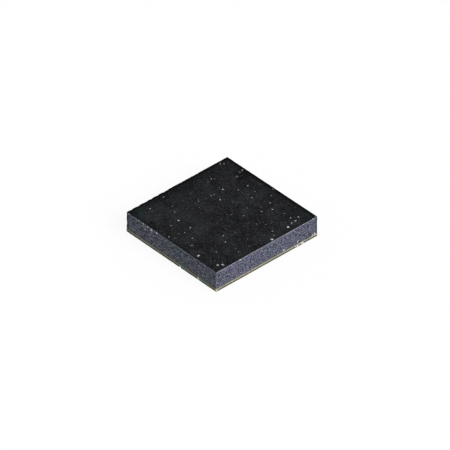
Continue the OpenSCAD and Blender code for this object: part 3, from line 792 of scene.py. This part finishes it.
def clothLayer(node):
    # glass where a yarn ends or runs, in clouded resin, both darker below the tone's height
    look = laminateLook
    g = Finish(node)
    onX = sideMask(g)
    ends, run = weave(between(onX, g.x, g.y), g.z, node, g.sine, g.step)
    filaments = g.step(g.cells(look["filamentsPerMm"]), *look["filamentDisc"])
    strands = g.noise(1.0, noiseDetail, g.stretched(look["strandsPerMm"]))
    glass = ends * between(filaments, *look["filamentSpread"])
    glass = glass.most(run * between(strands, *look["strandSpread"]))
    cloud = g.noise(look["cloudsPerMm"], cloudDetail) - noiseMiddle
    share = glass * look["glassShare"] + cloud * look["cloudShare"]
    share = g.step(share + g.cellValue(look["specksPerMm"]) * look["speckShare"], 0.0, 1.0)
    # each side takes its own copy of the colours: painted light across X, painted shade across Y
    dark = g.mix(share, g.mix(onX, *look["darkResin"]), g.mix(onX, *look["darkGlass"]))
    pale = g.mix(share, g.mix(onX, *look["paleResin"]), g.mix(onX, *look["paleGlass"]))
    upper = g.step(g.z + cloud * look["toneWander"], *look["toneHeight"])
    return g.surface({
        "Base Color": sawnLaminate(g, g.mix(upper, dark, pale)),
        "Roughness": between(share, *look["roughSpread"]),
        "Specular IOR Level": look["gloss"],
        "Normal": g.bump(glass, look["bump"]),
    })


# Solder masks: sawn edges like the laminate's, and the green underside, lighter where it lies on copper

maskLook = {
    # a pair of colours is for the sides across Y and those across X; the second is paler, painted light on
    # the sides across X, which face the key lamp, and painted shade on those across Y
    "upper": (paint(104, 106, 92), paint(110, 110, 102)),
    "lower": (paint(32, 36, 24), paint(72, 74, 54)),
    "grainPerMm": 30.0,
    "cellsPerMm": 24.0,
    "cellShare": 0.4,
    "paleShare": 0.3,
    "peelPerMm": 7.0,
    "roughSpread": (0.5, 0.8),
    "gloss": 0.2,
}

underside = {
    "board": paint(22, 62, 42),
    "copper": paint(44, 104, 68),
    "copperSpread": (0.8, 1.1),
    "pitch": 0.6,
    "landWidth": 0.35,
    "landLength": 0.4,
    "landsPerSide": 7,
    "chamfer": 0.4,
    "face": (0.0009, 0.0002),  # heights between which the free face takes over from the sawn edge
    "roughSpread": (0.26, 0.4),
    "edgeRough": 0.3,
    "peelShare": 0.3,
    "gloss": 0.4,
    "bump": 0.0015,
}


def repeated(value, pitch):
    # distance to the nearest multiple of the pitch
    return abs((value + pitch / 2) % pitch - pitch / 2)


def lines(g, value, pitch, half):
    # 1 on lines of the given half width, which repeat with the pitch
    return g.within(repeated(value, pitch), half)


def copperUnder(g):
    # 1 over the lands and the paddle, from the CAD boxes of both
    form = underside
    outer, inner = nodeBox("perimeter_lands")[1], nodeBox("ground_paddle")[1]
    half = form["landLength"] / 2
    rows = form["landsPerSide"] * form["pitch"] / 2
    copper = 0.0
    for across, along, edge in ((g.x, g.y, outer[0]), (g.y, g.x, outer[1])):
        reach = g.within(abs(across) - (edge - half), half)
        each = lines(g, along, form["pitch"], form["landWidth"] / 2)
        copper = (reach * each * g.within(along, rows)).most(copper)
    slant = inner[0] + inner[1] - form["chamfer"]
    corner = g.step(g.y - g.x, slant + fade, slant)
    paddle = g.within(g.x, inner[0]) * g.within(g.y, inner[1]) * corner
    return paddle.most(copper)


def solderMask(node, edgeColours, facing):
    # the sawn edge of a mask layer, and its free face where it has one
    look, form = maskLook, underside
    g = Finish(node)
    grain = blend(g.noise(look["grainPerMm"]), g.cellValue(look["cellsPerMm"]), look["cellShare"])
    # the edge colour on each side is its own copy: painted light across X, painted shade across Y
    edge = g.mix(grain * look["paleShare"], g.mix(sideMask(g), *edgeColours), laminateLook["paleResin"][0])
    edge = sawnLaminate(g, edge)
    peel = g.noise(look["peelPerMm"], cloudDetail)
    if not facing:
        rough = between(peel, *look["roughSpread"])
        return g.surface({"Base Color": edge, "Roughness": rough, "Specular IOR Level": look["gloss"]})
    face = g.step(g.z, *form["face"])
    copper = copperUnder(g)
    cover = g.mix(copper * between(peel, *form["copperSpread"]), form["board"], form["copper"])
    return g.surface({
        "Base Color": g.mix(face, edge, cover),
        "Roughness": between(peel, *form["roughSpread"]) + (1 - face) * form["edgeRough"],
        "Specular IOR Level": form["gloss"],
        "Normal": g.bump(copper + peel * form["peelShare"], form["bump"]),
    })


# Metals: a clouded colour with a fine grain, given as grains per millimetre

metals = {
    "gold": {"dark": paint(222, 182, 98), "light": paint(244, 211, 130), "roughness": 0.26, "grain": 75.0},
    "copper": {"dark": paint(180, 106, 70), "light": paint(214, 140, 98), "roughness": 0.36, "grain": 80.0},
    "tin": {"dark": paint(176, 178, 181), "light": paint(218, 220, 222), "roughness": 0.42, "grain": 90.0},
    "solder": {"dark": paint(166, 169, 174), "light": paint(214, 217, 221), "roughness": 0.28, "grain": 30.0},
    "wire": {"dark": paint(226, 182, 84), "light": paint(252, 222, 136), "roughness": 0.16, "grain": 120.0},
}
metalForm = {"cloudsPerMm": 8.0, "grainShare": 0.4, "tone": (0.25, 0.75), "roughRise": 0.15, "bump": 0.0008}


def metal(name):
    look, form = metals[name], metalForm
    g = Finish(name)
    grain = g.cellValue(look["grain"])
    cloud = blend(g.noise(form["cloudsPerMm"], cloudDetail), grain, form["grainShare"])
    return g.surface({
        "Base Color": g.mix(g.step(cloud, *form["tone"]), look["dark"], look["light"]),
        "Metallic": 1.0,
        "Roughness": look["roughness"] + cloud * form["roughRise"],
        "Normal": g.bump(cloud, form["bump"]),
    })


# Ceramics and polymers: speckled grain with darker clouds, and layers of the given height, or none

bodies = {
    "capacitor_bodies": {"dark": paint(142, 116, 84), "light": paint(186, 158, 118), "layers": 0.012},
    "inductor_bodies": {"dark": paint(206, 208, 204), "light": paint(236, 237, 232), "layers": 0.0},
    "filter_walls": {"dark": paint(140, 104, 50), "light": paint(182, 142, 78), "layers": 0.0},
    "film": {"dark": paint(196, 190, 170), "light": paint(228, 223, 205), "layers": 0.0},
}
bodyForm = {
    "specksPerMm": 60.0,
    "cloudsPerMm": 12.0,
    "cloudShare": 0.5,
    "layerShare": 0.3,
    "tone": (0.2, 0.8),
    "roughSpread": (0.45, 0.75),
    "bump": 0.001,
}


def body(name):
    look, form = bodies[name], bodyForm
    g = Finish(name)
    cloud = g.noise(form["cloudsPerMm"], cloudDetail)
    speck = blend(g.cellValue(form["specksPerMm"]), cloud, form["cloudShare"])
    if look["layers"]:
        layer = g.step(repeated(g.z, look["layers"]), 0.0, look["layers"] / 2)
        speck = blend(speck, layer, form["layerShare"])
    return g.surface({
        "Base Color": g.mix(g.step(speck, *form["tone"]), look["dark"], look["light"]),
        "Roughness": between(speck, *form["roughSpread"]),
        "Normal": g.bump(speck, form["bump"]),
    })


# Silver epoxy: cured adhesive full of silver flakes

epoxy = {
    "resin": paint(120, 121, 124),
    "silver": paint(214, 215, 218),
    "flakesPerMm": 90.0,
    "metallic": (0.4, 0.8),
    "roughSpread": (0.7, 0.4),
    "bump": 0.001,
}


def silverEpoxy():
    look = epoxy
    g = Finish("silver_epoxy")
    flake = g.cellValue(look["flakesPerMm"])
    return g.surface({
        "Base Color": g.mix(flake, look["resin"], look["silver"]),
        "Metallic": g.step(flake, *look["metallic"]),
        "Roughness": between(flake, *look["roughSpread"]),
        "Normal": g.bump(flake, look["bump"]),
    })


# Dies: a sawn side, and a patterned top with a bond pad under each wire, counted left, front, right, back

dies = {
    "power_amplifier_die": {"pattern": "fingers", "wires": (3, 4, 6, 0), "side": paint(62, 66, 62),
                            "field": paint(74, 92, 78), "metal": paint(212, 176, 98)},
    "controller_die": {"pattern": "blocks", "wires": (4, 0, 4, 3), "side": paint(84, 88, 96),
                       "field": paint(96, 84, 112), "metal": paint(176, 178, 186)},
    "switch_die": {"pattern": "stripes", "wires": (3, 0, 3, 4), "side": paint(84, 88, 96),
                   "field": paint(78, 98, 118), "metal": paint(184, 186, 190)},
    "low_noise_amplifier_die": {"pattern": "spiral", "wires": (3, 0, 3, 0), "side": paint(62, 66, 62),
                                "field": paint(78, 90, 84), "metal": paint(212, 176, 98)},
}
dieForm = {
    "padInset": 0.07,
    "padPitch": 0.13,
    "padHalf": 0.036,
    "patternInset": 0.12,
    "seal": (0.012, 0.022),  # insets of the seal ring's outer and inner edge
    "sealStrength": 0.8,
    "face": (0.0012, 0.0004),  # depths between which the patterned face takes over from the sawn side
    "hazePerMm": 14.0,
    "hazeShare": 0.35,
    "chips": paint(150, 152, 156),
    "chipsPerMm": 50.0,
    "chipShare": 0.3,
    "metallic": 0.9,
    "roughSpread": (0.24, 0.38),
    "sideRough": 0.2,
    "bump": 0.0008,
    # patterns: lines by their pitch and half width, and a spiral whose turns are rings between two radii
    "fingers": {"rows": (0.28, 0.09), "lines": (0.036, 0.011), "busHalf": 0.02},
    "stripes": {"rows": (0.2, 0.075), "lines": (0.02, 0.006), "spines": (0.25, 0.016)},
    "spiral": {"turns": (0.024, 0.007), "outer": (0.13, 0.128), "inner": (0.04, 0.042),
               "feed": (0.34, 0.012)},
    "blocks": {"perMm": (18.0, 30.0, 0.0)},
}


def dieTracks(g, pattern, middle, x, y):
    # 1 on the metal of a die's pattern, and for blocks a random value in each cell
    form = dieForm[pattern]
    if pattern == "fingers":
        pitch = form["rows"][0]
        buses = lines(g, y + pitch / 2, pitch, form["busHalf"])
        return (lines(g, y, *form["rows"]) * lines(g, x, *form["lines"])).most(buses)
    if pattern == "stripes":
        crossed = lines(g, y, *form["rows"]) * lines(g, x, *form["lines"])
        return crossed.most(lines(g, x, *form["spines"]))
    if pattern == "spiral":
        away = g.distance(g.place, middle)
        turns = lines(g, away, *form["turns"]) * g.step(away, *form["outer"]) * g.step(away, *form["inner"])
        return turns.most(lines(g, y + form["feed"][0] / 2, *form["feed"]))
    return g.cellValue(1.0, g.stretched(form["perMm"]))


def dieFinish(node):
    # the pattern stays inside the pads, and a seal ring runs round both
    look, form = dies[node], dieForm
    g = Finish(node)
    low, high = nodeBox(node)
    halfWide, halfDeep = (high[:2] - low[:2]) / 2
    middle = ((low[0] + high[0]) / 2, (low[1] + high[1]) / 2, high[2])
    x, y = g.x - middle[0], g.y - middle[1]

    def inside(inset):
        return g.within(x, halfWide - inset) * g.within(y, halfDeep - inset)

    shown = dieTracks(g, look["pattern"], middle, x, y) * inside(form["patternInset"])
    pitch, padHalf = form["padPitch"], form["padHalf"]
    sides = ((x, -1, y, halfWide), (y, -1, x, halfDeep), (x, 1, y, halfWide), (y, 1, x, halfDeep))
    for (across, out, along, reach), count in zip(sides, look["wires"]):
        shift = 0.0 if count % 2 else pitch / 2
        row = g.within(across - out * (reach - form["padInset"]), padHalf)
        row = row * g.within(along, count * pitch / 2)
        shown = (row * lines(g, along + shift, pitch, padHalf)).most(shown)
    outer, inner = form["seal"]
    seal = (1 - inside(inner)) * inside(outer)
    top = g.step(g.z, *(high[2] - depth for depth in form["face"]))
    haze = g.noise(form["hazePerMm"], cloudDetail)
    field = g.mix(haze * form["hazeShare"], look["field"], look["side"])
    face = g.mix(shown.most(seal * form["sealStrength"]), field, look["metal"])
    side = g.mix(g.noise(form["chipsPerMm"]) * form["chipShare"], look["side"], form["chips"])
    return g.surface({
        "Base Color": g.mix(top, side, face),
        "Metallic": shown * top * form["metallic"],
        "Roughness": between(haze, *form["roughSpread"]) + (1 - top) * form["sideRough"],
        "Normal": g.bump(shown * top, form["bump"]),
    })


# Filter chips: piezoelectric crystal with a ground back and fine electrodes below

crystalLook = {
    "dark": paint(150, 150, 150),
    "light": paint(196, 194, 190),
    "electrode": paint(206, 208, 212),
    "face": (0.0012, 0.0004),  # heights over the lower face between which the electrodes show
    "fingers": (0.012, 0.003),  # pitch and half width
    "rows": (0.16, 0.06),
    "scratchesPerMm": (14.0, 120.0, 14.0),
    "roughSpread": (0.32, 0.62),
    "bump": 0.0008,
}


def crystal():
    look = crystalLook
    g = Finish("filter_chips")
    low = nodeBox("filter_chips")[0]
    below = g.step(g.z, *(low[2] + height for height in look["face"]))
    comb = lines(g, g.x, *look["fingers"]) * lines(g, g.y, *look["rows"]) * below
    scratch = g.noise(1.0, cloudDetail, g.stretched(look["scratchesPerMm"]))
    return g.surface({
        "Base Color": g.mix(comb, g.mix(scratch, look["dark"], look["light"]), look["electrode"]),
        "Metallic": comb,
        "Roughness": between(scratch, *look["roughSpread"]),
        "Normal": g.bump(scratch, look["bump"]),
    })


def finish(node, material):
    # the CAD node and the relief that stands for it wear the same material
    for dressed in (nodes[node], pieces.get(node, nodes[node])):
        dressed.data.materials.clear()
        dressed.data.materials.append(material)


finish("mold_compound", mouldCompound())
for node in cloth["phase"]:
    finish(node, clothLayer(node))
finish("top_solder_mask", solderMask("top_solder_mask", maskLook["upper"], False))
finish("bottom_solder_mask", solderMask("bottom_solder_mask", maskLook["lower"], True))
gold, copper, tin, solder, wire = (metal(name) for name in metals)
film, silver = body("film"), silverEpoxy()
for node in ("perimeter_lands", "ground_paddle", "top_copper"):
    finish(node, gold)
for node in ("upper_ground_plane", "lower_ground_plane", "upper_vias", "core_vias", "lower_vias",
             "filter_pillars"):
    finish(node, copper)
for node in dies:
    finish(node, dieFinish(node))
    finish(node.replace("_die", "_attach"), silver if node.startswith("power") else film)
    finish(node.replace("_die", "_wires"), wire)
for part in ("capacitor", "inductor"):
    finish(part + "_bodies", body(part + "_bodies"))
    finish(part + "_terminations", tin)
    finish(part + "_solder", solder)
finish("filter_walls", body("filter_walls"))
finish("filter_chips", crystal())
print("materials made")

# Stage: white floor and world, and a broad key from the right

stage = {
    "floorSize": 4000.0,
    "floorDrop": 0.002,
    "floorColour": (0.93, 0.93, 0.93, 1.0),
    "floorGlow": 0.9,
    "white": (1.0, 1.0, 1.0, 1.0),
    "whiteLight": 1.0,
    "skyLight": 0.5,
    "keyStrength": 0.85,
    "keyAngle": 40.0,
    "keyFrom": (0.76, 0.12, 0.64),
}


def makeFloor():
    size = stage["floorSize"] * mm / 2
    corners = [(-size, -size), (size, -size), (size, size), (-size, size)]
    mesh = bpy.data.meshes.new("floor")
    mesh.from_pydata([(x, y, -stage["floorDrop"] * mm) for x, y in corners], [], [(0, 1, 2, 3)])
    g = Graph(bpy.data.materials.new("floor_white"))
    matt = g.node("ShaderNodeBsdfDiffuse", {}, {"Color": stage["floorColour"]})
    glow = g.node("ShaderNodeEmission", {}, {"Color": stage["white"], "Strength": stage["whiteLight"]})
    lit = g.node("ShaderNodeMixShader", {}, {0: g.seenDirectly() * stage["floorGlow"], 1: matt, 2: glow})
    clear = g.node("ShaderNodeBsdfTransparent", {}, {})
    behind = g.node("ShaderNodeNewGeometry", {}, {}, "Backfacing")
    mixed = g.node("ShaderNodeMixShader", {}, {0: behind, 1: lit, 2: clear})
    g.node("ShaderNodeOutputMaterial", {}, {"Surface": mixed}, None)
    mesh.materials.append(g.owner)
    floor = added("floor", mesh)
    floor.visible_diffuse = False
    floor.visible_shadow = False


def makeWorld():
    g = Graph(bpy.data.worlds.new("studio"))
    light, white = (g.node("ShaderNodeBackground", {}, {"Color": stage["white"], "Strength": strength})
                    for strength in (stage["skyLight"], stage["whiteLight"]))
    mixed = g.node("ShaderNodeMixShader", {}, {0: g.seenDirectly(), 1: light, 2: white})
    g.node("ShaderNodeOutputWorld", {}, {"Surface": mixed}, None)
    bpy.context.scene.world = g.owner


def turned(thing, back):
    # a lamp or camera looks against the direction given
    thing.rotation_mode = "QUATERNION"
    thing.rotation_quaternion = back.to_track_quat("Z", "Y")


def makeKey():
    data = bpy.data.lights.new("key", "SUN")
    data.energy = stage["keyStrength"] * math.pi
    data.angle = math.radians(stage["keyAngle"])
    turned(added("key", data), Vector(stage["keyFrom"]))


# Camera: the photo's viewing angle and a long lens, with the object a little left of the middle and above it

camera = {
    "azimuth": 47.74,
    "elevation": 37.5,
    "distance": 313.0,
    "lens": 670.3,
    "sensor": 36.0,
    "aimRight": 0.118,
    "aimUp": -0.042,
    "clipFactor": 10,  # the camera sees from its distance over this to its distance times this
}


def makeCamera():
    azimuth, elevation = math.radians(camera["azimuth"]), math.radians(camera["elevation"])
    level = math.cos(elevation)
    right = Vector((math.cos(azimuth), math.sin(azimuth), 0))
    back = Vector((math.sin(azimuth) * level, -math.cos(azimuth) * level, math.sin(elevation)))
    up = back.cross(right)
    middle = Vector((0, 0, topZ / 2))
    place = middle + right * camera["aimRight"] + up * camera["aimUp"] + back * camera["distance"]
    data = bpy.data.cameras.new("camera")
    data.lens = camera["lens"]
    data.sensor_width = camera["sensor"]
    data.clip_start = camera["distance"] * mm / camera["clipFactor"]
    data.clip_end = camera["distance"] * mm * camera["clipFactor"]
    made = added("camera", data)
    made.location = place * mm
    turned(made, back)
    bpy.context.scene.camera = made


makeFloor()
makeWorld()
makeKey()
makeCamera()
bpy.context.scene.view_settings.view_transform = "Standard"
print("stage and camera made")
